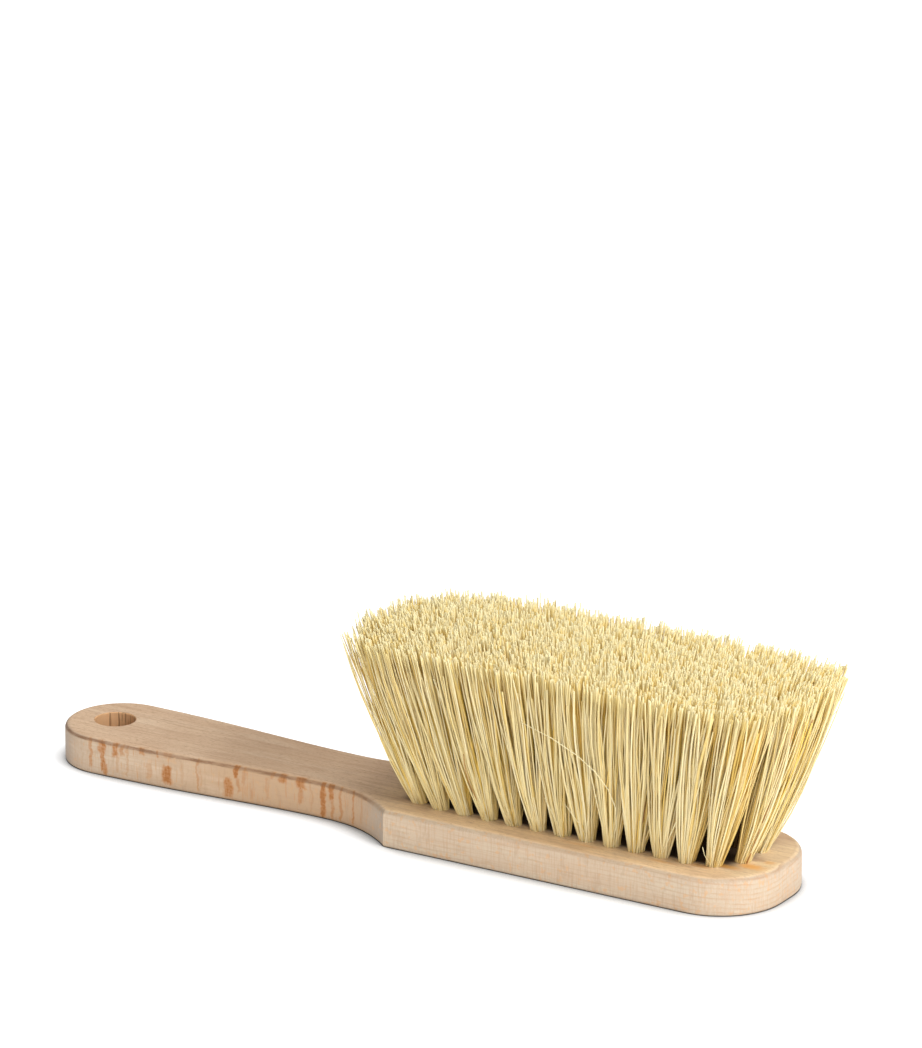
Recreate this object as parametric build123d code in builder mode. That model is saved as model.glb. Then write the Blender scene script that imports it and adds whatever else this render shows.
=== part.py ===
"""Hand brush of beech and plant fibre, lying on its flat back with the bristles up.

A one-piece wooden stock (brush head and handle in one board) carries four rows of fibre
tufts. Every tuft is folded in half round a flat wire anchor, and the anchor is driven across
the floor of a blind hole, where its two ends bite into the wood.

Millimetres, +Z up. X runs from the handle to the toe, and Y = 0 is the middle of the board.
The origin is under the centre of the whole brush's bounding box, on the surface it lies on.
"""
import os
from math import cos, pi, sin

from build123d import *

# ---------------------------------------------------------------- driving dimensions
# Stock. A distance is measured along X from the tip of the handle.
stock_length = 300.0
stock_thickness = 14.0
head_width = 58.0
shoulder_distance = 152.0       # where the handle's curve meets the straight side of the head
toe_corner_radius = 24.5
handle_end_radius = 20.8
handle_mid_distance = 62.0
handle_mid_half_width = 19.3
waist_distance = 113.0          # narrowest place of the handle
waist_half_width = 16.1
throat_distance = 136.0
throat_half_width = 19.2
shoulder_slope = 0.9            # sideways rise per length where the curve ends at the shoulder
front_edge_radius = 2.2         # rounding on the bristle side
back_edge_radius = 1.0          # rounding on the side it lies on
shoulder_edge_radius = 0.6
hanging_hole_radius = 7.5
hanging_hole_distance = 18.0
hanging_hole_break = 0.3        # broken edge at both mouths of the hole

# Tuft pattern: two inner rows of 14, and two outer rows of 13 that stand between them.
inner_row_count = 14
outer_row_count = 13
inner_row_pitch = 10.15
outer_row_pitch = 10.03
inner_row_middle = 219.8        # distance of the middle of an inner row
outer_row_middle = 218.8
inner_row_y = 6.0
outer_row_y = 16.5
corner_tuft_inset = 1.9         # first and last tuft of an outer row stand this much further in

# Tuft. It fills a blind hole, swells soon after leaving it, and flares on to an oval where
# the fibres are trimmed level.
hole_radius = 2.85
hole_depth = 8.5
root_radius = 2.80
tuft_sides = 16
bristle_height = 78.0           # trimmed tips above the surface that the brush lies on
tip_pitch = 12.5                # the same for all rows
tips_middle = 220.6             # distance of the middle of the field of tips
inner_tip_y = 9.1               # middle of an inner row's tips
outer_tip_y = 27.1              # middle of an outer row's tips
tip_gap = 0.4                   # left between the tips of neighbouring tufts
tip_half_across = 8.8
swell_height = 36.0             # level of the section between hole and tip
swell_lean = 0.41               # share of the way from hole to tip, sideways, at that level
swell_size = 0.57               # share of the growth from hole size to tip size at that level

# Anchor: a flat strip on edge, along X, with the fold of the tuft under it.
anchor_length = 6.7
anchor_thickness = 0.5
anchor_height = 2.0
fold_thickness = 1.6            # fibre between the anchor and the floor of the hole

same_place = 0.01               # edges closer than this to a wanted size or place are the ones meant

# ---------------------------------------------------------------- worked-out values
tip_half_along = (tip_pitch - tip_gap) / 2
tips_end = tips_middle + (inner_row_count - 1) / 2 * tip_pitch + tip_half_along
origin_distance = tips_end / 2  # the tips overhang the toe, so they end the bounding box
hole_floor = stock_thickness - hole_depth
anchor_middle = hole_floor + fold_thickness + anchor_height / 2


def along(distance):
    """X of a point that lies this far from the tip of the handle."""
    return distance - origin_distance


def row_positions(count, pitch, row_middle, row_y, tip_y):
    """Hole centre and tip centre of every tuft of one row, handle end first."""
    side = 1 if row_y > 0 else -1
    tufts = []
    for i in range(count):
        steps = i - (count - 1) / 2
        at_corner = count == outer_row_count and i in (0, count - 1)
        inset = side * corner_tuft_inset if at_corner else 0.0
        hole = (along(row_middle + steps * pitch), row_y - inset)
        tip = (along(tips_middle + steps * tip_pitch), tip_y - inset)
        tufts.append((hole, tip))
    return tufts


# Left and right are as seen when the brush is held by the handle with the bristles up.
outer_row = outer_row_count, outer_row_pitch, outer_row_middle
inner_row = inner_row_count, inner_row_pitch, inner_row_middle
rows = {
    "left_outer": row_positions(*outer_row, outer_row_y, outer_tip_y),
    "left_inner": row_positions(*inner_row, inner_row_y, inner_tip_y),
    "right_inner": row_positions(*inner_row, -inner_row_y, -inner_tip_y),
    "right_outer": row_positions(*outer_row, -outer_row_y, -outer_tip_y),
}
holes = [hole for tufts in rows.values() for hole, tip in tufts]


def save(part, name):
    """Label one finished piece and write its STEP file."""
    part.label = name
    export_step(part, f"parts/{name}.step")


os.makedirs("parts", exist_ok=True)

# ---------------------------------------------------------------- stock
handle_side_start = (along(handle_end_radius), handle_end_radius)
shoulder = (along(shoulder_distance), head_width / 2)
toe_side_end = (along(stock_length - toe_corner_radius), head_width / 2)
toe_end_start = (along(stock_length), head_width / 2 - toe_corner_radius)

with BuildPart() as stock:
    with BuildSketch(Plane.XY):
        with BuildLine():
            RadiusArc((along(0), 0), handle_side_start, handle_end_radius)
            Spline(
                handle_side_start,
                (along(handle_mid_distance), handle_mid_half_width),
                (along(waist_distance), waist_half_width),
                (along(throat_distance), throat_half_width),
                shoulder,
                tangents=[(1, 0), (1, shoulder_slope)],
            )
            Line(shoulder, toe_side_end)
            RadiusArc(toe_side_end, toe_end_start, toe_corner_radius)
            Line(toe_end_start, (along(stock_length), 0))
            mirror(about=Plane.XZ)
        make_face()
    extrude(amount=stock_thickness)

    shoulder_edges = stock.edges().filter_by(Axis.Z).filter_by(
        lambda edge: abs(edge.center().X - shoulder[0]) < same_place
    )
    fillet(shoulder_edges, shoulder_edge_radius)
    fillet(stock.faces().sort_by(Axis.Z)[-1].edges(), front_edge_radius)
    fillet(stock.faces().sort_by(Axis.Z)[0].edges(), back_edge_radius)

    with Locations((along(hanging_hole_distance), 0, stock_thickness)):
        Hole(radius=hanging_hole_radius)
    hole_mouths = stock.edges().filter_by(GeomType.CIRCLE).filter_by(
        lambda edge: abs(edge.radius - hanging_hole_radius) < same_place
    )
    chamfer(hole_mouths, hanging_hole_break)

    with Locations(*[(x, y, stock_thickness) for x, y in holes]):
        Hole(radius=hole_radius, depth=hole_depth)
    with Locations(*[(x, y, anchor_middle) for x, y in holes]):
        Box(anchor_length, anchor_thickness, anchor_height, mode=Mode.SUBTRACT)
save(stock.part, "stock")


# ---------------------------------------------------------------- tufts
def tuft_section(centre, half_along, half_across):
    """Corners of the many-sided oval that one tuft fills at one height."""
    angles = [2 * pi * i / tuft_sides for i in range(tuft_sides)]
    return [(centre[0] + half_along * cos(a), centre[1] + half_across * sin(a)) for a in angles]


def part_way(start, end, share):
    """The number that lies this share of the way from start to end."""
    return start + (end - start) * share


def make_tuft(hole, tip):
    """One tuft: round in its hole, folded under the anchor, and flared to its trimmed tip."""
    swell_centre = [part_way(from_hole, to_tip, swell_lean) for from_hole, to_tip in zip(hole, tip)]
    swell_half_along = part_way(root_radius, tip_half_along, swell_size)
    swell_half_across = part_way(root_radius, tip_half_across, swell_size)
    root_corners = tuft_section(hole, root_radius, root_radius)
    swell_corners = tuft_section(swell_centre, swell_half_along, swell_half_across)
    tip_corners = tuft_section(tip, tip_half_along, tip_half_across)
    with BuildPart() as tuft:
        with BuildSketch(Plane.XY.offset(hole_floor)):
            Polygon(*root_corners, align=None)
        extrude(amount=hole_depth)
        with BuildSketch(Plane.XY.offset(stock_thickness)):
            Polygon(*root_corners, align=None)
        with BuildSketch(Plane.XY.offset(swell_height)):
            Polygon(*swell_corners, align=None)
        with BuildSketch(Plane.XY.offset(bristle_height)):
            Polygon(*tip_corners, align=None)
        loft(ruled=True)
        with Locations((hole[0], hole[1], anchor_middle)):
            Box(anchor_length, anchor_thickness, anchor_height, mode=Mode.SUBTRACT)
    return tuft.part


for row_name, tufts in rows.items():
    for number, (hole, tip) in enumerate(tufts, start=1):
        save(make_tuft(hole, tip), f"tuft_{row_name}_{number:02d}")


# ---------------------------------------------------------------- anchors, one group per row
def make_anchors(tufts):
    """The flat anchors of one row, as separate solids."""
    with BuildPart() as anchors:
        with Locations(*[(x, y, anchor_middle) for (x, y), tip in tufts]):
            Box(anchor_length, anchor_thickness, anchor_height)
    return anchors.part


for row_name, tufts in rows.items():
    save(make_anchors(tufts), f"anchors_{row_name}")
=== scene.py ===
"""Looks for the beech hand brush: real fibres in place of the CAD tufts, and beech on the stock.

Everything is in metres, in the CAD frame: +X from the handle to the toe, +Z up, back face on Z = 0.
"""
import math

import bpy
import numpy as np
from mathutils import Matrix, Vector


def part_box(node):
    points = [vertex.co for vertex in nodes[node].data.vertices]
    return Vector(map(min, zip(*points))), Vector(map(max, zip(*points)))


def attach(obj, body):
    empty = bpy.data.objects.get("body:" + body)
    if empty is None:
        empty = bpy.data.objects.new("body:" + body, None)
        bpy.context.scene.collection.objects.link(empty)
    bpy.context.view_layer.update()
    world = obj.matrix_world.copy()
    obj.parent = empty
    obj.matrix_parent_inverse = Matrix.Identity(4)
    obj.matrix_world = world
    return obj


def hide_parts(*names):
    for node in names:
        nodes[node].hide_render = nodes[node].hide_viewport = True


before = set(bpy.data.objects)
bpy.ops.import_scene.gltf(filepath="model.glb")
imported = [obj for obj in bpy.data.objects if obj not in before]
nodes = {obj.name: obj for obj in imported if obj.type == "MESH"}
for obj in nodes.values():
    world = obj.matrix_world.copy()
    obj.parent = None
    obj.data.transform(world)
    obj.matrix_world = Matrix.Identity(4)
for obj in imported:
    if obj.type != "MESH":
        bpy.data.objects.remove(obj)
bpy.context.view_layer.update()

MM = 0.001
stock_low, stock_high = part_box("stock")
WOOD_TOP = stock_high.z
HOLE_DISTANCE, HOLE_RADIUS = 18.0, 7.5          # hanging hole, mm
TUFTS_MIDDLE = 219.0                            # distance of the middle of the tufts, mm
ROWS = ("right_outer", "right_inner", "left_inner", "left_outer")
tuft_nodes = sorted(name for name in nodes if name.startswith("tuft_"))

# ---------------------------------------------------------------- camera
CAMERA_AZIMUTH = math.radians(31.43)     # towards +X from looking along +Y
CAMERA_ELEVATION = math.radians(18.43)
CAMERA_DISTANCE = 2.724
CAMERA_LENS, CAMERA_SENSOR = 253.5, 36.0   # mm
CAMERA_SEES_TO = 20.0                    # m
CAMERA_AIM = Vector((-0.0460, 0.0963, 0.0778))


def make_camera():
    """Camera that stands CAMERA_DISTANCE from its aim, at the azimuth and elevation above."""
    flat = math.cos(CAMERA_ELEVATION)
    backwards = Vector((math.sin(CAMERA_AZIMUTH) * flat, -math.cos(CAMERA_AZIMUTH) * flat,
                        math.sin(CAMERA_ELEVATION)))
    data = bpy.data.cameras.new("camera")
    data.lens = CAMERA_LENS
    data.sensor_width = CAMERA_SENSOR
    data.clip_end = CAMERA_SEES_TO
    camera = bpy.data.objects.new("camera", data)
    camera.location = CAMERA_AIM + CAMERA_DISTANCE * backwards
    camera.rotation_euler = (-backwards).to_track_quat("-Z", "Y").to_euler()
    bpy.context.scene.collection.objects.link(camera)
    bpy.context.scene.camera = camera


# ---------------------------------------------------------------- shader helpers
class Shader:
    """A material's node tree, with short calls for the nodes used here."""

    def __init__(self, name):
        self.material = bpy.data.materials.new(name)
        self.material.use_nodes = True
        self.tree = self.material.node_tree
        self.bsdf = self.tree.nodes["Principled BSDF"]

    def node(self, kind, **settings):
        made = self.tree.nodes.new(kind)
        for key, value in settings.items():
            setattr(made, key, value)
        return made

    def feed(self, socket, value):
        """Link value into socket if it is a socket, and set it there if it is a constant."""
        if isinstance(value, bpy.types.NodeSocket):
            self.tree.links.new(value, socket)
        else:
            socket.default_value = value

    def math(self, operation, a, b=0.0, clamp=False):
        made = self.node("ShaderNodeMath", operation=operation, use_clamp=clamp)
        for socket, value in zip(made.inputs, (a, b)):
            self.feed(socket, value)
        return made.outputs[0]

    def ramp(self, value, low, high, to_low=0.0, to_high=1.0):
        """Smooth step of value from low..high to to_low..to_high."""
        made = self.node("ShaderNodeMapRange", interpolation_type="SMOOTHSTEP")
        for key, number in (("Value", value), ("From Min", low), ("From Max", high),
                            ("To Min", to_low), ("To Max", to_high)):
            self.feed(made.inputs[key], number)
        return made.outputs[0]

    def spot(self, value, centre, half, soft):
        """1 within half of centre, falling to 0 over soft."""
        away = self.math("ABSOLUTE", self.math("SUBTRACT", value, centre))
        return self.ramp(away, half, half + soft, 1.0, 0.0)

    def mix(self, amount, first, second):
        made = self.node("ShaderNodeMix", data_type="RGBA", blend_type="MIX")
        self.feed(made.inputs[0], amount)
        self.feed(made.inputs[6], first)
        self.feed(made.inputs[7], second)
        return made.outputs[2]

    def place_mm(self, size):
        """Object position divided by a cell size in millimetres along X, Y and Z."""
        place = self.node("ShaderNodeTexCoord").outputs["Object"]
        made = self.node("ShaderNodeVectorMath", operation="MULTIPLY")
        self.feed(made.inputs[0], place)
        self.feed(made.inputs[1], [1.0 / (edge * MM) for edge in size])
        return made.outputs[0]

    def product(self, *values):
        made = values[0]
        for value in values[1:]:
            made = self.math("MULTIPLY", made, value)
        return made

    def noise(self, size, detail=2.0, roughness=0.5, distortion=0.0):
        """Noise whose blobs have about this size in millimetres along X, Y and Z."""
        made = self.node("ShaderNodeTexNoise")
        self.feed(made.inputs["Vector"], self.place_mm(size))
        self.feed(made.inputs["Scale"], 1.0)
        self.feed(made.inputs["Detail"], detail)
        self.feed(made.inputs["Roughness"], roughness)
        self.feed(made.inputs["Distortion"], distortion)
        return made.outputs["Fac"]

    def attribute(self, name):
        return self.node("ShaderNodeAttribute", attribute_name=name).outputs["Fac"]

    def bump(self, height, strength, distance):
        made = self.node("ShaderNodeBump")
        self.feed(made.inputs["Height"], height)
        self.feed(made.inputs["Strength"], strength)
        self.feed(made.inputs["Distance"], distance)
        self.feed(self.bsdf.inputs["Normal"], made.outputs[0])


# ---------------------------------------------------------------- beech
# Colours of the bare wood, linear; the head's and toe's tops are partly painted light, paler than the wood
# against the tufts' shade.
HEAD_SIDE, TOE_SIDE = (0.650, 0.530, 0.388, 1), (0.590, 0.485, 0.362, 1)
HANDLE_SIDE_TIP, HANDLE_SIDE_NECK = (0.605, 0.468, 0.335, 1), (0.565, 0.375, 0.222, 1)
HEAD_TOP_PAINTED_LIGHTER, TOE_TOP_PAINTED_LIGHTER = (0.920, 0.680, 0.425, 1), (0.900, 0.710, 0.465, 1)
HANDLE_TOP, HANDLE_TOP_MIDDLE = (0.710, 0.510, 0.340, 1), (0.610, 0.425, 0.275, 1)
DARKER_BAND, PALER_BAND = (0.56, 0.345, 0.205, 1), (0.78, 0.62, 0.45, 1)
LATE_WOOD, UPRIGHT_LINE = (0.52, 0.335, 0.21, 1), (0.55, 0.365, 0.235, 1)
GRAIN_LINE, FIGURE = (0.50, 0.33, 0.21, 1), (0.50, 0.315, 0.195, 1)
SHADE_AWAY_FROM_TOE = (0.385, 0.305, 0.235, 1)
# Colours of the rays.
FLECK, BLOTCH, THIN_RAY = (0.36, 0.205, 0.115, 1), (0.70, 0.375, 0.155, 1), (0.56, 0.27, 0.11, 1)
RIBBON, RIBBON_HEART = (0.49, 0.200, 0.055, 1), (0.30, 0.105, 0.028, 1)
# Colours of wear and work, and of painted shade on the rounded edge and among the tufts.
TORN_AND_SHADED_EDGE, SHADE_AMONG_TUFTS, STAIN = (0.22, 0.110, 0.055, 1), (0.05, 0.024, 0.010, 1), (0.80, 0.390, 0.080, 1)
BORE, PULLED_FIBRE = (0.76, 0.430, 0.200, 1), (0.20, 0.10, 0.045, 1)

# Places on the stock: distances from the handle's tip, mm.
HANDLE_ENDS, THROAT_ENDS = (134.0, 153.0), (155.0, 165.0)
PALE_TIP, MIDDLE_OF_HANDLE = (20.0, 90.0), 92.0
TOE_SIDE_STARTS, TOE_TOP_STARTS, END_GRAIN_STARTS = (268.0, 292.0), (276.0, 296.0), (272.0, 290.0)
RING_SPACING = 1.85              # mm between growth rings

# Ray ribbons on the right side of the handle: distance from the handle's tip, half width,
# lower and upper end above the table, all in mm, then strength.
RIBBONS = (
    (21.0, 0.6, 3.0, 13.6, 0.55), (25.6, 1.3, 9.0, 13.6, 0.65), (26.4, 0.9, 2.0, 13.0, 0.75),
    (27.2, 1.0, 1.0, 5.0, 0.70), (31.8, 1.2, 8.5, 13.8, 0.70), (34.8, 0.8, 9.6, 13.4, 0.55),
    (32.6, 0.5, 3.0, 9.0, 0.30), (36.8, 0.3, 2.0, 13.4, 0.30), (43.0, 1.0, 11.4, 13.9, 0.60),
    (46.2, 1.1, 3.0, 8.4, 0.32), (50.0, 0.3, 11.6, 14.4, 0.60), (53.7, 1.9, 2.2, 8.6, 0.85),
    (53.7, 1.7, 12.2, 14.0, 0.35), (60.0, 0.5, 4.0, 11.0, 0.18), (66.5, 0.3, 1.5, 13.8, 0.45),
    (68.0, 0.3, 3.0, 10.0, 0.20), (79.0, 1.6, 1.6, 8.2, 0.75), (82.4, 0.9, 9.2, 13.8, 0.95),
    (83.4, 0.5, 4.0, 9.0, 0.45), (85.6, 0.5, 7.5, 13.4, 0.40), (95.0, 0.4, 3.0, 11.0, 0.28),
    (97.2, 0.8, 11.6, 13.8, 0.45), (102.0, 1.6, 10.8, 13.8, 0.75), (109.3, 2.0, 9.8, 14.0, 0.80),
    (109.0, 0.9, 4.0, 9.4, 0.55), (118.7, 1.0, 1.0, 14.2, 0.85), (122.2, 1.1, 8.0, 14.2, 0.80),
    (122.8, 0.6, 1.0, 8.0, 0.55), (126.7, 0.5, 1.0, 14.0, 0.55), (132.5, 0.4, 1.0, 14.0, 0.62),
    (137.0, 0.4, 3.0, 13.0, 0.20), (113.5, 0.3, 2.0, 10.0, 0.22), (88.5, 0.4, 2.0, 8.0, 0.22),
)
# Stained patches on the bristle side of the head: distance, Y, half length, half width, all in
# mm, then strength.
STAINS = (
    (291.0, -9.5, 6.0, 2.4, 0.60), (284.0, -14.0, 6.0, 1.8, 0.45), (275.0, -18.0, 5.0, 1.5, 0.40),
    (295.0, -3.0, 2.2, 1.6, 0.40), (262.0, -21.5, 7.0, 1.0, 0.30), (230.0, -22.0, 9.0, 1.0, 0.22),
)


class Beech(Shader):
    """Untreated beech: growth rings lie flat, and rays stand on edge along the grain.

    A ray is a thin plate, so one texture gives short flecks on the top, tall reddish ribbons
    on the sides, and fine upright lines on the end grain. Each method takes the colour so far
    and returns it with one more feature of the wood.
    """

    def __init__(self):
        super().__init__("beech")
        place = self.node("ShaderNodeSeparateXYZ")
        self.feed(place.inputs[0], self.place_mm((1.0, 1.0, 1.0)))
        x_mm, self.y_mm, self.z_mm = place.outputs
        self.distance = self.math("SUBTRACT", x_mm, stock_low.x / MM)
        normal = self.node("ShaderNodeSeparateXYZ")
        self.feed(normal.inputs[0], self.node("ShaderNodeNewGeometry").outputs["Normal"])
        self.facing_toe = normal.outputs[0]
        tilt = self.math("ABSOLUTE", normal.outputs[2])
        self.level = self.ramp(tilt, 0.72, 0.97)
        self.upright = self.math("SUBTRACT", 1.0, self.level)
        self.rounding = self.product(self.spot(tilt, 0.52, 0.12, 0.20), self.ramp(self.z_mm, 7.0, 9.0))
        self.handle = self.ramp(self.distance, *HANDLE_ENDS, 1.0, 0.0)
        self.handle_or_throat = self.ramp(self.distance, *THROAT_ENDS, 1.0, 0.0)
        # how far ribbons and stains stray from a straight outline, mm
        self.wander = self.scatter((6.0, 20.0, 3.2), 3.0, 3.4)
        self.ragged = self.scatter((0.8, 20.0, 2.0), 2.0, 3.0)

    def scatter(self, size, detail, reach):
        """Noise about 0 with this reach in mm."""
        return self.math("MULTIPLY", self.math("SUBTRACT", self.noise(size, detail=detail), 0.5), reach)

    def head_to_handle(self, on_head, on_handle):
        """One strength on the head and another on the handle."""
        return self.ramp(self.handle, 0.0, 1.0, on_head, on_handle)

    def bare_wood(self):
        """The ground colour of each side and end, with long darker and paler bands; the head's and toe's
        tops are partly painted light.
        """
        handle_side = self.mix(self.ramp(self.distance, *PALE_TIP), HANDLE_SIDE_TIP, HANDLE_SIDE_NECK)
        head_side = self.mix(self.ramp(self.distance, *TOE_SIDE_STARTS), HEAD_SIDE, TOE_SIDE)
        side = self.mix(self.handle, head_side, handle_side)
        # painted light: the tops of the head and toe are painted paler than the wood, against the shade that
        # the tufts throw on them
        head_top_painted_lighter = self.mix(self.ramp(self.distance, *TOE_TOP_STARTS), HEAD_TOP_PAINTED_LIGHTER, TOE_TOP_PAINTED_LIGHTER)
        near_middle = self.spot(self.distance, MIDDLE_OF_HANDLE, 6.0, 26.0)
        top = self.mix(self.handle, head_top_painted_lighter, self.mix(near_middle, HANDLE_TOP, HANDLE_TOP_MIDDLE))
        colour = self.mix(self.level, side, top)
        dark = self.noise((48.0, 5.0, 6.0), detail=3.0, roughness=0.6)
        colour = self.mix(self.ramp(dark, 0.40, 0.70, 0.0, 0.30), colour, DARKER_BAND)
        pale = self.noise((35.0, 6.0, 5.0), detail=2.0)
        return self.mix(self.ramp(pale, 0.52, 0.75, 0.0, 0.35), colour, PALER_BAND)

    def growth_rings(self, colour):
        """Nearly level sheets, wavy over the length of the board."""
        sway = self.math("MULTIPLY", self.noise((120.0, 30.0, 60.0), detail=1.0), 9.0)
        fine_sway = self.math("MULTIPLY", self.noise((14.0, 4.0, 8.0), detail=2.0), 1.1)
        height = self.math("ADD", self.math("ADD", self.z_mm, sway), fine_sway)
        ring = self.math("FRACT", self.math("DIVIDE", height, RING_SPACING))
        late_wood = self.product(self.ramp(ring, 0.45, 0.90), self.ramp(ring, 0.90, 1.0, 1.0, 0.0))
        patchy = self.ramp(self.noise((16.0, 5.0, 3.0), detail=2.0), 0.35, 0.65, 0.15, 1.0)
        toe = self.ramp(self.distance, *END_GRAIN_STARTS)
        strength = self.math("ADD", 0.40, self.math("MULTIPLY", toe, 0.35))
        self.ring_mark = self.product(late_wood, patchy, strength)
        return self.mix(self.ring_mark, colour, LATE_WOOD)

    def grain_lines(self, colour):
        """Fine upright lines on the sides, silky grain and figure along the top, and painted shade on the
        faces turned away from the toe.
        """
        lines = self.noise((0.55, 0.55, 9.0), detail=2.5, roughness=0.7)
        line_mark = self.product(self.upright, self.ramp(lines, 0.45, 0.70, 0.0, 0.55))
        colour = self.mix(line_mark, colour, UPRIGHT_LINE)
        self.grain = self.noise((9.0, 0.30, 0.30), detail=3.0, roughness=0.65)
        colour = self.mix(self.ramp(self.grain, 0.42, 0.68, 0.0, 0.30), colour, GRAIN_LINE)
        # painted shade: the faces of the handle and throat that turn away from the toe, as the end of the
        # handle and the throat do, are painted greyer and darker
        across = self.ramp(self.facing_toe, -0.25, -0.80, 0.0, 0.85)
        colour = self.mix(self.math("MULTIPLY", across, self.handle_or_throat), colour, SHADE_AWAY_FROM_TOE)
        figure = self.noise((26.0, 1.1, 3.0), detail=3.0, roughness=0.6, distortion=0.4)
        figure_mark = self.product(self.level, self.ramp(figure, 0.50, 0.66),
                                   self.head_to_handle(0.22, 0.58))
        return self.mix(figure_mark, colour, FIGURE)

    def rays(self, colour):
        """Flecks on the top, and blotches and thin lines on the sides."""
        self.flecks = self.ramp(self.noise((1.9, 0.26, 5.0), detail=2.0, roughness=0.55), 0.55, 0.65)
        fleck_amount = self.math("ADD", 0.14, self.product(self.level, self.head_to_handle(0.22, 0.42)))
        colour = self.mix(self.product(self.flecks, fleck_amount), colour, FLECK)
        blotch = self.noise((2.6, 1.2, 2.6), detail=2.0, roughness=0.55)
        blotch_mark = self.product(self.ramp(blotch, 0.57, 0.68), self.upright,
                                   self.head_to_handle(0.42, 0.22))
        colour = self.mix(blotch_mark, colour, BLOTCH)
        thin = self.noise((0.9, 0.8, 10.0), detail=2.0, roughness=0.6)
        thin_mark = self.product(self.ramp(thin, 0.60, 0.70), self.upright,
                                 self.head_to_handle(0.14, 0.60))
        return self.mix(thin_mark, colour, THIN_RAY)

    def ribbons(self, colour):
        """The large rays that come out on the right side of the handle."""
        ribbon_x = self.math("ADD", self.distance, self.wander)
        ribbon_z = self.math("ADD", self.z_mm, self.ragged)
        ribbons = 0.0
        for centre, half, low, high, strength in RIBBONS:
            mark = self.product(self.spot(ribbon_x, centre, half * 0.60, half * 0.7 + 0.20),
                                self.spot(ribbon_z, (low + high) / 2, (high - low) / 2 - 0.5, 1.4), strength)
            ribbons = self.math("MAXIMUM", ribbons, mark)
        veined = self.ramp(self.noise((0.55, 3.0, 3.4), detail=3.0, roughness=0.7), 0.30, 0.62, 0.68, 1.0)
        right_side = self.ramp(self.y_mm, -12.0, -9.0, 1.0, 0.0)
        banded = self.ramp(self.noise((2.5, 20.0, 0.9), detail=2.0), 0.38, 0.60, 0.80, 1.0)
        ribbon_mark = self.product(ribbons, veined, banded, right_side, self.upright)
        colour = self.mix(self.math("MULTIPLY", ribbon_mark, 1.35, clamp=True), colour, RIBBON)
        return self.mix(self.ramp(ribbon_mark, 0.45, 0.90, 0.0, 0.55), colour, RIBBON_HEART)

    def wear(self, colour):
        """The rounded edge, torn a little by the cutter and darkened with painted shade, painted shade on
        the wood between the tufts, and the stains.
        """
        # the rounded top edges: partly torn by the cutter, partly painted shade along the rounding
        torn = self.ramp(self.noise((8.0, 3.0, 1.5), detail=4.0, roughness=0.7), 0.38, 0.64, 0.50, 1.0)
        edge_wear_and_shade = self.product(self.rounding, torn, self.head_to_handle(0.15, 0.85))
        colour = self.mix(edge_wear_and_shade, colour, TORN_AND_SHADED_EDGE)
        # painted shade: the top of the wood among the tufts, where the fibres keep the light off, is painted
        # nearly black
        among_tufts_shade = self.product(self.ramp(self.math("ABSOLUTE", self.y_mm), 14.0, 17.0, 1.0, 0.0),
                                   self.spot(self.distance, TUFTS_MIDDLE, 62.0, 8.0), self.level)
        colour = self.mix(self.math("MULTIPLY", among_tufts_shade, 0.95), colour, SHADE_AMONG_TUFTS)
        stain_x = self.math("ADD", self.distance, self.math("MULTIPLY", self.wander, 1.2))
        stain_y = self.math("ADD", self.y_mm, self.math("MULTIPLY", self.ragged, 0.5))
        stains = 0.0
        for centre, across, half_length, half_width, strength in STAINS:
            mark = self.product(self.spot(stain_x, centre, half_length * 0.2, half_length * 1.1),
                                self.spot(stain_y, across, half_width * 0.2, half_width * 1.3), strength)
            stains = self.math("MAXIMUM", stains, mark)
        stain_mark = self.math("MULTIPLY", self.product(stains, self.level), 1.3, clamp=True)
        return self.mix(stain_mark, colour, STAIN)

    def bore(self, colour):
        """The hanging hole's wall: burnished by the drill, with darker pulled fibres."""
        hole_x = self.math("POWER", self.math("SUBTRACT", self.distance, HOLE_DISTANCE), 2.0)
        from_axis = self.math("SQRT", self.math("ADD", hole_x, self.math("POWER", self.y_mm, 2.0)))
        wall = self.ramp(from_axis, HOLE_RADIUS + 0.2, HOLE_RADIUS + 0.5, 1.0, 0.0)
        bore = self.product(wall, self.upright)
        colour = self.mix(self.math("MULTIPLY", bore, 0.75), colour, BORE)
        pulled = self.ramp(self.noise((0.9, 0.9, 16.0), detail=2.0), 0.56, 0.66)
        return self.mix(self.product(bore, pulled, 0.7), colour, PULLED_FIBRE)

    def relief(self):
        """Height for the bump: raised grain, with late wood and flecks a little lower."""
        relief = self.math("ADD", self.math("MULTIPLY", self.grain, 0.6),
                           self.math("MULTIPLY", self.ring_mark, -0.6))
        return self.math("ADD", relief, self.math("MULTIPLY", self.flecks, -0.5))


def beech():
    """The wood's material, feature over feature."""
    s = Beech()
    colour = s.bare_wood()
    for feature in (s.growth_rings, s.grain_lines, s.rays, s.ribbons, s.wear, s.bore):
        colour = feature(colour)
    s.feed(s.bsdf.inputs["Base Color"], colour)
    s.feed(s.bsdf.inputs["Roughness"], s.ramp(s.grain, 0.3, 0.7, 0.50, 0.66))
    s.feed(s.bsdf.inputs["Specular IOR Level"], 0.30)
    s.bump(s.relief(), 0.35, 0.12 * MM)
    return s.material


# ---------------------------------------------------------------- fibre and wire
# Colours of the fibres, linear: by tone, then painted shade by depth in the tuft and in the field, and below
# the tips.
PALE, STRAW = (0.88, 0.775, 0.480, 1), (0.84, 0.700, 0.355, 1)
GOLD, BROWN = (0.75, 0.530, 0.170, 1), (0.44, 0.220, 0.070, 1)
STREAK, TUFT_CORE_SHADE = (0.78, 0.56, 0.20, 1), (0.80, 0.530, 0.075, 1)
SHADE_BELOW_SURFACE, DEEP_SHADE = (0.76, 0.480, 0.070, 1), (0.09, 0.038, 0.008, 1)
SHADE_BELOW_TIPS, LIT_TIP_ENDS = (0.68, 0.560, 0.260, 1), (0.78, 0.715, 0.460, 1)
WIRE_DARK, WIRE_LIGHT = (0.50, 0.50, 0.50, 1), (0.66, 0.66, 0.65, 1)


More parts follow.
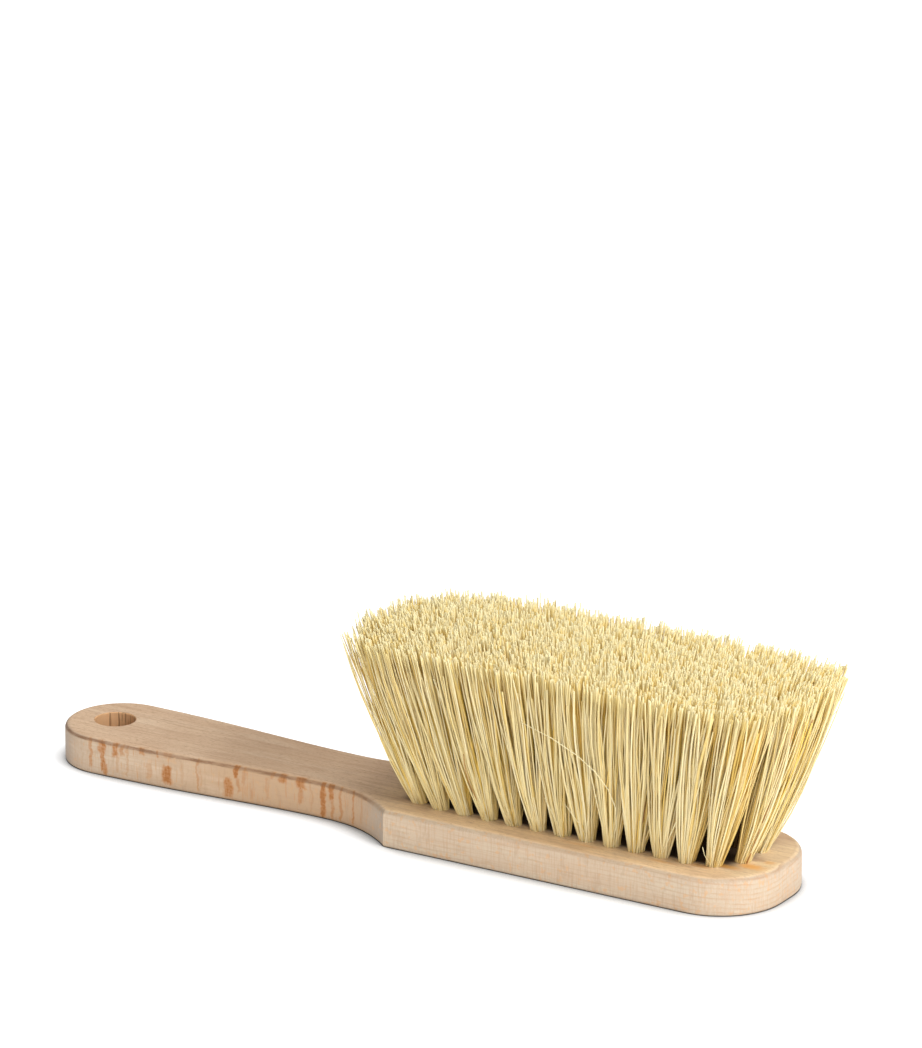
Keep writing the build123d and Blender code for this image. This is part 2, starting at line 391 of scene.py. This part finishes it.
def plant_fibre():
    """Tampico: pale cream to straw, each fibre its own tone, with painted golden shade inside a tuft,
    painted dark shade deep down and painted shade below the tips.
    """
    s = Shader("plant_fibre")
    tone = s.attribute("fibre_tone")
    along = s.attribute("fibre_along")
    core = s.attribute("fibre_core")
    depth = s.attribute("fibre_depth")
    colour = s.mix(s.ramp(tone, 0.0, 0.45), PALE, STRAW)
    colour = s.mix(s.ramp(tone, 0.50, 0.85), colour, GOLD)
    streak = s.noise((0.45, 0.45, 6.0), detail=2.0)
    colour = s.mix(s.ramp(streak, 0.48, 0.72, 0.0, 0.30), colour, STREAK)
    # painted shade: fibres nearer the middle of their tuft are painted golden
    colour = s.mix(s.ramp(core, 0.14, 0.55, 0.0, 0.72), colour, TUFT_CORE_SHADE)
    # painted shade: golden from a millimetre in from the sides and tips of the field
    colour = s.mix(s.ramp(depth, 1.0, 4.5, 0.0, 0.55), colour, SHADE_BELOW_SURFACE)
    # painted shade: nearly black deep in the field, mostly low down
    low_down = s.ramp(along, 0.30, 0.62, 1.0, 0.15)
    colour = s.mix(s.product(s.ramp(depth, 4.4, 8.0, 0.0, 0.97), low_down), colour, DEEP_SHADE)
    colour = s.mix(s.ramp(tone, 0.96, 1.0), colour, BROWN)
    # painted shade: golden and darker just below the tips, and the very ends painted paler again, as painted
    # light on the lit tips
    colour = s.mix(s.ramp(along, 0.82, 0.94, 0.0, 0.50), colour, SHADE_BELOW_TIPS)
    colour = s.mix(s.ramp(along, 0.970, 1.0, 0.0, 0.60), colour, LIT_TIP_ENDS)
    s.feed(s.bsdf.inputs["Base Color"], colour)
    s.feed(s.bsdf.inputs["Roughness"], s.ramp(streak, 0.3, 0.7, 0.40, 0.55))
    s.feed(s.bsdf.inputs["Specular IOR Level"], 0.28)
    return s.material


def anchor_wire():
    """Flattened galvanised wire, dull with fine drawing marks."""
    s = Shader("anchor_wire")
    marks = s.noise((3.0, 0.1, 0.1), detail=2.0)
    s.feed(s.bsdf.inputs["Base Color"], s.mix(s.ramp(marks, 0.3, 0.7), WIRE_DARK, WIRE_LIGHT))
    s.feed(s.bsdf.inputs["Metallic"], 1.0)
    s.feed(s.bsdf.inputs["Roughness"], s.ramp(marks, 0.3, 0.7, 0.35, 0.55))
    return s.material


# ---------------------------------------------------------------- fibres
STRANDS = 95                     # folded fibres per tuft, so twice as many tips
SIDES = 4
FREE_STEPS = 8                   # rings from the wood to a tip
STEP_POWER = 1.15                # above 1, the rings stand closer together near the wood
FIRST_SEED = 1000
FIBRE_RADIUS = (0.15 * MM, 0.25 * MM, 0.44 * MM)         # thinnest, commonest, thickest
COARSE_SHARE, COARSE_RADIUS = 0.06, 1.55     # share of fibres that are this much thicker
TONE_SHAPE = (1.2, 2.8)          # of the beta distribution: most fibres pale, some straw, few gold
BROWN_SHARE, TONE_LIMIT = 0.004, 0.95       # the few brown fibres have tone 1
# Section of a tuft, as shares of the CAD tuft's half sizes.
FOLD_FILL, FOLD_DISORDER = 0.95, 0.05
DISC_DISORDER, PLACE_DISORDER = 0.03, 0.12
SQUARING = 0.75                  # how far the round tuft fills its corners at the tips
TIP_OVERLAP = (1.14, 1.08)
FRAY = 0.07                      # outward stray of a tip, as a share of the tuft's lean
# Tips draw into clumps.
CLUMPS, CLUMP_FIELD = 14, (1.1, 1.0)
CLUMP_PULL, CLUMP_LEAST = 0.38, 0.4
TIP_SCATTER = 1.0 * MM
UNRULY_SHARE, UNRULY_SCATTER = 0.10, 2.6     # share of fibres that stray this much more
# Trim, mm: fibres spring up past the trimmed height, differ a little, and some are short.
TIP_RAISE, RAISE_SCATTER, CUT_SCATTER = 1.2, 0.8, 0.7
SHORT_SHARE, SHORT_BY = 0.10, (1.0, 8.0)
OUTWARD_DROP = 0.9               # how much lower a tip stands for each unit that it strays out
BEND, DOUBLE_BEND = 0.8 * MM, 0.45 * MM      # sideways waves along a fibre
SAME_LEVEL = 0.01 * MM
CUT_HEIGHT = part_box(tuft_nodes[0])[1].z
TIP_LIGHT_REACH = 0.75           # depth in from the side that 1 mm down from the tips counts as
# The fold: its height above the floor of the hole in mm, then three points across the tuft, as
# the share of the half width and the lift in mm.
FOLD_HEIGHT, FOLD_HEIGHT_SPREAD = 0.3, 1.1
FOLD_ACROSS = ((0.9, 1.6), (0.0, 0.0), (-0.9, 1.6))
FOLD_LEAST = 0.18                # least half width of a fold, as a share of the tuft's
# How a tuft opens: higher numbers widen and lean it sooner after it leaves its hole.
SPREAD_POWER, LEAN_EARLY = 1.50, 0.06
TOE_SPREAD_POWER, TOE_LEAN_EARLY = 1.55, 0.20
TOE_TUFTS = ("tuft_left_outer_13", "tuft_left_inner_14", "tuft_right_inner_14", "tuft_left_outer_12")
# tufts whose tips stand elsewhere than an even trim would put them, X and Y in mm
TIP_NUDGE = {
    "tuft_left_outer_01": (5.0, -6.0), "tuft_left_outer_02": (2.4, -3.0), "tuft_left_inner_01": (2.2, 0.0),
    "tuft_left_outer_13": (3.2, -1.5), "tuft_left_inner_14": (3.4, 0.0), "tuft_right_inner_14": (2.6, 0.0),
    "tuft_right_outer_13": (1.5, 0.0), "tuft_left_outer_03": (-0.8, -1.0),
}
# Loose fibres: X and Y from the foot of the tuft and Z above the wood, in mm, at the middle and
# at the end, then radius in mm and tone (0 pale to 1 brown).
STRAYS = {
    "tuft_right_outer_04": (((-3.0, -8.0, 14.0), (-2.5, -13.5, 28.0), 0.20, 1.0),),
    "tuft_right_outer_05": (((0.5, -5.0, 3.5), (-1.5, -8.5, 12.0), 0.14, 0.1),),
    "tuft_right_outer_07": (((1.0, -6.0, 7.0), (-1.5, -10.0, 16.5), 0.15, 0.0),),
    "tuft_right_outer_08": (((1.0, -6.5, 7.5), (-3.5, -10.0, 16.0), 0.14, 0.1),),
    "tuft_right_outer_09": (((4.0, -13.5, 29.0), (-26.0, -18.5, 46.5), 0.22, 0.0),),
    "tuft_right_outer_11": (((5.5, -6.5, 7.0), (12.0, -11.0, 18.5), 0.15, 0.0),),
    "tuft_right_outer_13": (((0.5, -6.0, 4.0), (1.0, -10.0, 10.0), 0.14, 0.2),),
    "tuft_right_outer_01": (((-9.0, -3.0, 24.0), (-25.0, -6.0, 58.0), 0.22, 0.1),
                            ((-6.0, -5.0, 30.0), (-19.0, -10.0, 63.0), 0.16, 0.9),
                            ((-5.0, -2.0, 34.0), (-17.0, -3.0, 64.0), 0.18, 0.0)),
    "tuft_right_inner_01": (((-9.0, -6.0, 30.0), (-22.0, -14.0, 60.0), 0.18, 0.95),),
    "tuft_left_outer_13": (((12.0, 4.0, 30.0), (30.5, 7.0, 57.0), 0.22, 0.0),
                           ((13.0, 3.0, 28.0), (31.0, 5.0, 64.0), 0.18, 0.1),
                           ((11.0, 5.0, 26.0), (26.5, 10.0, 50.0), 0.18, 0.2)),
}


def section(node, lowest):
    """Centre and half sizes of the CAD tuft at its foot or at its trimmed end."""
    points = np.array([v.co for v in nodes[node].data.vertices])
    level = points[:, 2].min() if lowest else points[:, 2].max()
    ring = points[np.abs(points[:, 2] - level) < SAME_LEVEL]
    low, high = ring.min(0), ring.max(0)
    return (low + high) / 2, (high - low)[:2] / 2


def field_outline(lowest):
    """Corners of the field of tufts where they leave the wood or at their trimmed ends, X and Y."""
    sections = [section(node, lowest) for node in tuft_nodes]
    low = np.min([centre[:2] - half for centre, half in sections], axis=0)
    high = np.max([centre[:2] + half for centre, half in sections], axis=0)
    return low, high


FIELD_FEET, FIELD_TIPS = field_outline(lowest=True), field_outline(lowest=False)


def depth_in_field(points):
    """How deep in the field of fibres each point lies, from its sides or from the tips, in mm."""
    (foot_low, foot_high), (tip_low, tip_high) = FIELD_FEET, FIELD_TIPS
    rise = np.clip((points[..., 2:] - WOOD_TOP) / (CUT_HEIGHT - WOOD_TOP), 0.0, 1.0)
    low = foot_low + (tip_low - foot_low) * rise
    high = foot_high + (tip_high - foot_high) * rise
    sides = np.minimum(points[..., :2] - low, high - points[..., :2]).min(-1)
    return np.minimum(sides, (CUT_HEIGHT - points[..., 2]) * TIP_LIGHT_REACH) / MM


def disc_points(rng, count):
    """Evenly spread points of a half disc, y > 0, with a little disorder."""
    i = np.arange(2 * count) + 0.5
    radius = np.sqrt(i / (2 * count))
    angle = i * math.pi * (3.0 - math.sqrt(5.0))
    points = np.stack([radius * np.cos(angle), radius * np.sin(angle)], 1)
    points = points + rng.normal(0.0, DISC_DISORDER, points.shape)
    order = np.argsort(-points[:, 1])
    return points[order[:count]]


def squared(disc, share):
    """Pull disc points part of the way out to a square, to fill the gaps between round tufts."""
    radius = np.linalg.norm(disc, axis=1, keepdims=True) + 1e-9
    reach = 1.0 / np.maximum(np.abs(disc / radius).max(1, keepdims=True), 0.7)
    return disc * (1.0 + share * (reach - 1.0))


def free_path(rng, disc, foot, foot_size, tip, tip_size, fray, spread_power, lean_early):
    """Paths from the mouth of the hole to the trimmed tips, one row per fibre."""
    count = len(disc)
    place = disc + rng.normal(0.0, PLACE_DISORDER, disc.shape)
    place /= np.maximum(np.linalg.norm(place, axis=1, keepdims=True), 1.0)
    start = foot[:2] + place * foot_size
    spread = squared(disc, SQUARING) * tip_size * TIP_OVERLAP
    centres = rng.uniform(-1.0, 1.0, (CLUMPS, 2)) * tip_size * CLUMP_FIELD
    nearest = np.argmin(((spread[:, None] - centres[None]) ** 2).sum(2), 1)
    pull = CLUMP_PULL * rng.uniform(CLUMP_LEAST, 1.0, (count, 1))
    spread = spread + pull * (centres[nearest] - spread)
    outward = np.sign(tip[:2] - foot[:2]) * np.abs(rng.normal(0.0, 1.0, (count, 1))) * fray
    unruly = np.where(rng.random((count, 1)) < UNRULY_SHARE, UNRULY_SCATTER, 1.0)
    end = spread + rng.normal(0.0, TIP_SCATTER, (count, 2)) * unruly + outward
    top = tip[2] + rng.normal(TIP_RAISE, RAISE_SCATTER, count) * MM
    top = top - np.abs(rng.normal(0.0, CUT_SCATTER * MM, count))
    short = rng.random(count) < SHORT_SHARE
    top = top - short * rng.uniform(*SHORT_BY, count) * MM
    top = top - OUTWARD_DROP * np.linalg.norm(outward, axis=1)
    t = np.linspace(0.0, 1.0, FREE_STEPS) ** STEP_POWER
    lean = (t * (1.0 + lean_early * (1.0 - t)))[None, :, None]
    widen = (1.0 - (1.0 - t) ** spread_power)[None, :, None]
    flat = start[:, None] + (tip[:2] - foot[:2]) * lean
    flat = flat + (end - (start - foot[:2]))[:, None] * widen
    bend = rng.normal(0.0, BEND, (count, 1, 2)) * np.sin(math.pi * t)[None, :, None]
    double_bend = rng.normal(0.0, DOUBLE_BEND, (count, 1, 2)) * np.sin(2 * math.pi * t)[None, :, None]
    flat = flat + bend + double_bend
    height = WOOD_TOP + (top - WOOD_TOP)[:, None] * t[None]
    return np.concatenate([flat, height[:, :, None]], 2)


def stray_path(foot, middle, end):
    """A smooth arc from the hole through middle to end."""
    t = np.linspace(0.0, 1.0, FREE_STEPS)[:, None]
    arc = 4.0 * t * (1.0 - t) * np.array(middle) + t * (2.0 * t - 1.0) * np.array(end)
    return np.array([foot[0], foot[1], WOOD_TOP]) + arc * MM


def tube_mesh(name, paths, radii, tones, cores):
    """One mesh of closed tubes along paths (strand, step, xyz), with its shader attributes."""
    strands, steps = paths.shape[:2]
    tangent = np.gradient(paths, axis=1)
    tangent /= np.linalg.norm(tangent, axis=2, keepdims=True)
    side = np.cross(tangent, (1.0, 0.0, 0.0))
    side /= np.linalg.norm(side, axis=2, keepdims=True)
    other = np.cross(tangent, side)
    angle = 2 * math.pi * np.arange(SIDES) / SIDES
    ring = (side[:, :, None] * np.cos(angle)[:, None] + other[:, :, None] * np.sin(angle)[:, None])
    points = paths[:, :, None] + ring * radii[:, :, None, None]
    for step in (0, steps - 1):
        points[:, step, :, 2] = paths[:, step, None, 2]
    index = np.arange(strands * steps * SIDES).reshape(strands, steps, SIDES)
    around = np.roll(index, -1, axis=2)
    walls = np.stack([index[:, :-1], around[:, :-1], around[:, 1:], index[:, 1:]], 3).reshape(-1, 4)
    ends = np.concatenate([index[:, 0, ::-1], index[:, -1]])
    mesh = bpy.data.meshes.new(name)
    mesh.from_pydata(points.reshape(-1, 3).tolist(), [], walls.tolist() + ends.tolist())
    mesh.polygons.foreach_set("use_smooth", np.arange(len(walls) + len(ends)) < len(walls))
    rise = np.clip((points[..., 2] - WOOD_TOP) / (CUT_HEIGHT - WOOD_TOP), 0.0, 1.0)
    for key, values in (("fibre_tone", np.broadcast_to(tones[:, None, None], rise.shape)),
                        ("fibre_core", np.broadcast_to(cores[:, None, None], rise.shape)),
                        ("fibre_along", rise), ("fibre_depth", depth_in_field(points))):
        mesh.attributes.new(key, "FLOAT", "POINT").data.foreach_set("value", values.ravel())
    mesh.update()
    return mesh


def tuft(node, seed, material):
    """The fibres of one tuft, each folded once under the anchor at the bottom of its hole."""
    rng = np.random.default_rng(seed)
    foot, foot_size = section(node, lowest=True)
    tip, tip_size = section(node, lowest=False)
    tip[:2] += np.array(TIP_NUDGE.get(node, (0.0, 0.0))) * MM
    near = disc_points(rng, STRANDS) * FOLD_FILL
    far = near * (1.0, -1.0) + rng.normal(0.0, FOLD_DISORDER, near.shape)
    fray = np.abs(tip[:2] - foot[:2]) * FRAY
    opening = (TOE_SPREAD_POWER, TOE_LEAN_EARLY) if node in TOE_TUFTS else (SPREAD_POWER, LEAN_EARLY)
    arms = [free_path(rng, disc, foot, foot_size, tip, tip_size, fray, *opening) for disc in (near, far)]
    # the fold: down through the hole, under the anchor and up again
    fold_height = foot[2] + (FOLD_HEIGHT + FOLD_HEIGHT_SPREAD * rng.random(STRANDS)) * MM
    half_width = np.maximum(np.abs(near[:, 1]), FOLD_LEAST) * foot_size[1]
    fold = [np.stack([foot[0] + near[:, 0] * foot_size[0], foot[1] + share * half_width,
                      fold_height + lift * MM], 1) for share, lift in FOLD_ACROSS]
    paths = np.concatenate([arms[0][:, ::-1], np.stack(fold, 1), arms[1]], 1)
    radii = rng.triangular(*FIBRE_RADIUS, STRANDS)
    radii = radii * np.where(rng.random(STRANDS) < COARSE_SHARE, COARSE_RADIUS, 1.0)
    tones = rng.beta(*TONE_SHAPE, STRANDS)
    tones = np.where(rng.random(STRANDS) < BROWN_SHARE, 1.0, np.minimum(tones, TONE_LIMIT))
    cores = 1.0 - np.linalg.norm(near, axis=1)
    for number, (middle, end, radius, tone) in enumerate(STRAYS.get(node, ())):
        paths[number, -FREE_STEPS:] = stray_path(foot, middle, end)
        radii[number], tones[number], cores[number] = radius * MM, tone, 0.0
    name = node.replace("tuft", "bristles")
    mesh = tube_mesh(name, paths, np.repeat(radii[:, None], paths.shape[1], axis=1), tones, cores)
    mesh.materials.append(material)
    piece = bpy.data.objects.new(name, mesh)
    bpy.context.scene.collection.objects.link(piece)
    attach(piece, "root")
    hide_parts(node)
    return piece


# ---------------------------------------------------------------- stage
FLOOR_HALF = 8.0                 # m
FLOOR_SHADE_REACH = 0.024        # m, how far from the brush its soft shade reaches
FLOOR_SHADED, FLOOR_OPEN = (0.08, 0.08, 0.08, 1), (0.45, 0.45, 0.45, 1)
FLOOR_GLOW = 0.88
WORLD_LIGHT = 0.26
# Lamps: name, place in m, diameter in m, power in W, and the point they face.
LAMPS = (
    ("key", (1.12, -0.18, 0.80), 0.66, 13.0, (0.10, 0.0, 0.04)),
    ("top", (0.12, 0.08, 1.25), 1.00, 8.8, (0.05, 0.0, 0.00)),
    ("front", (0.62, -1.22, 0.50), 0.90, 5.4, (0.05, 0.0, 0.03)),
)


def make_floor():
    """White table that glows a little, except close under the brush."""
    half = FLOOR_HALF
    mesh = bpy.data.meshes.new("floor")
    mesh.from_pydata([(-half, -half, 0), (half, -half, 0), (half, half, 0), (-half, half, 0)],
                     [], [(0, 1, 2, 3)])
    s = Shader("floor_paint")
    s.feed(s.bsdf.inputs["Roughness"], 0.8)
    s.feed(s.bsdf.inputs["Specular IOR Level"], 0.2)
    s.feed(s.bsdf.inputs["Emission Color"], (1, 1, 1, 1))
    open_sky = s.node("ShaderNodeAmbientOcclusion", samples=16)
    s.feed(open_sky.inputs["Distance"], FLOOR_SHADE_REACH)
    seen = open_sky.outputs["AO"]
    s.feed(s.bsdf.inputs["Base Color"], s.mix(s.ramp(seen, 0.30, 0.62), FLOOR_SHADED, FLOOR_OPEN))
    s.feed(s.bsdf.inputs["Emission Strength"], s.ramp(seen, 0.34, 0.90, 0.0, FLOOR_GLOW))
    mesh.materials.append(s.material)
    floor = bpy.data.objects.new("floor", mesh)
    bpy.context.scene.collection.objects.link(floor)


def area_light(name, location, size, power, target):
    """Round soft lamp that faces target."""
    data = bpy.data.lights.new(name, "AREA")
    data.shape = "DISK"
    data.size = size
    data.energy = power
    light = bpy.data.objects.new(name, data)
    light.location = location
    light.rotation_euler = (Vector(target) - Vector(location)).to_track_quat("-Z", "Y").to_euler()
    bpy.context.scene.collection.objects.link(light)


def make_light():
    """Even white surroundings, and three lamps from the toe's side, above and in front."""
    scene = bpy.context.scene
    scene.view_settings.view_transform = "Standard"
    world = bpy.data.worlds.new("studio")
    world.use_nodes = True
    world.node_tree.nodes["Background"].inputs[0].default_value = (1.0, 1.0, 1.0, 1)
    world.node_tree.nodes["Background"].inputs[1].default_value = WORLD_LIGHT
    scene.world = world
    for lamp in LAMPS:
        area_light(*lamp)


# ---------------------------------------------------------------- build
make_camera()
make_floor()
make_light()

wood, fibre, wire = beech(), plant_fibre(), anchor_wire()
nodes["stock"].material_slots[0].material = wood
for row in ROWS:
    nodes[f"anchors_{row}"].material_slots[0].material = wire

for number, node in enumerate(tuft_nodes):
    tuft(node, FIRST_SEED + number, fibre)
